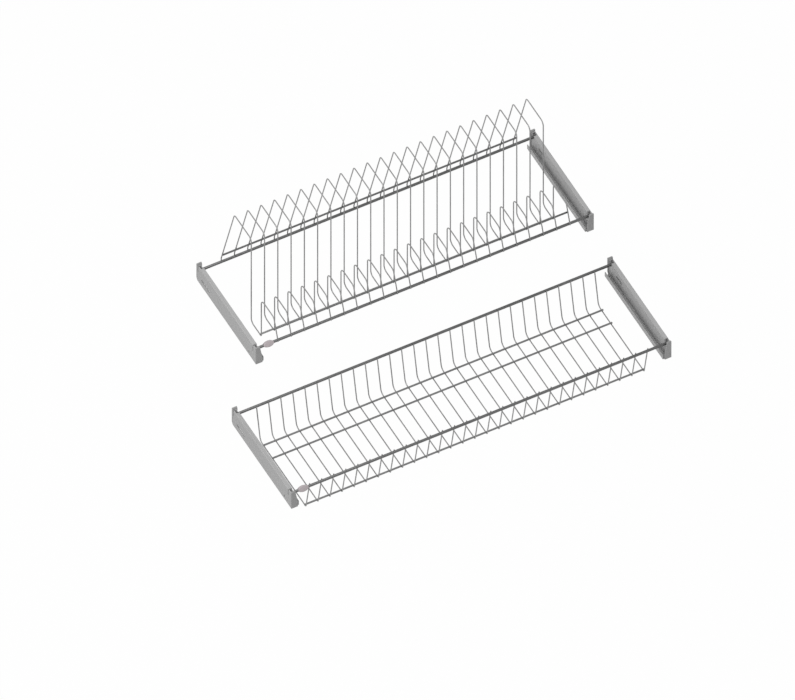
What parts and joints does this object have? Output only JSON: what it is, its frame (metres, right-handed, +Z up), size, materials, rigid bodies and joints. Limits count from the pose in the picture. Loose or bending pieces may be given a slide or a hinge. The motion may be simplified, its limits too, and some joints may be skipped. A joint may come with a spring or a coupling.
{
  "type": "cabinet dish rack",
  "caption": "Wire plate rack above a wire glass rack, each hung by two bars in open hooks on a pair of channel rails that screw to a wall cabinet's sides.",
  "frame": {"origin": "on the axis of the plate rack's back bar, midway between the cabinet's sides", "axes": "+X to the right along the bars, +Y to the back of the cabinet, +Z up"},
  "size_m": [0.864, 0.5054, 0.4529],
  "materials": {
    "wire_steel": "fine drawn wire, satin",
    "bar_steel": "satin grey steel rod",
    "rail_aluminium": "satin grey anodised profile",
    "hook_plastic": "grey moulding",
    "tag_plastic": "pinkish grey moulding, bare"
  },
  "bodies": {
    "rails": {"upper_rail_left": "rail_aluminium", "upper_rail_right": "rail_aluminium", "upper_hook_rear_left": "hook_plastic", "upper_hook_rear_right": "hook_plastic", "upper_hook_front_left": "hook_plastic", "upper_hook_front_right": "hook_plastic", "lower_rail_left": "rail_aluminium", "lower_rail_right": "rail_aluminium", "lower_hook_rear_left": "hook_plastic", "lower_hook_rear_right": "hook_plastic", "lower_hook_front_left": "hook_plastic", "lower_hook_front_right": "hook_plastic"},
    "plate_rack": {"plate_bar_back": "bar_steel", "plate_bar_front": "bar_steel", "plate_rod_back": "bar_steel", "plate_rod_front": "bar_steel", "plate_tag": "tag_plastic", "plate_divider_01": "wire_steel", "plate_divider_02": "wire_steel", "plate_divider_03": "wire_steel", "plate_divider_04": "wire_steel", "plate_divider_05": "wire_steel", "plate_divider_06": "wire_steel", "plate_divider_07": "wire_steel", "plate_divider_08": "wire_steel", "plate_divider_09": "wire_steel", "plate_divider_10": "wire_steel", "plate_divider_11": "wire_steel", "plate_divider_12": "wire_steel", "plate_divider_13": "wire_steel", "plate_divider_14": "wire_steel", "plate_divider_15": "wire_steel", "plate_divider_16": "wire_steel", "plate_divider_17": "wire_steel", "plate_divider_18": "wire_steel", "plate_divider_19": "wire_steel", "plate_divider_20": "wire_steel", "plate_divider_21": "wire_steel", "plate_divider_22": "wire_steel", "plate_divider_23": "wire_steel"},
    "glass_rack": {"glass_bar_back": "bar_steel", "glass_bar_front": "bar_steel", "glass_rod_back": "bar_steel", "glass_rod_middle": "bar_steel", "glass_rod_front": "bar_steel", "glass_wires": "wire_steel", "glass_tag": "tag_plastic"}
  },
  "joints": [
    {"name": "plate_rack_lift", "type": "slide", "parent": "rails", "child": "plate_rack", "axis": [0, 0, 1], "range_m": [0, 0.09]},
    {"name": "glass_rack_lift", "type": "slide", "parent": "rails", "child": "glass_rack", "axis": [0, 0, 1], "range_m": [0, 0.11]}
  ]
}
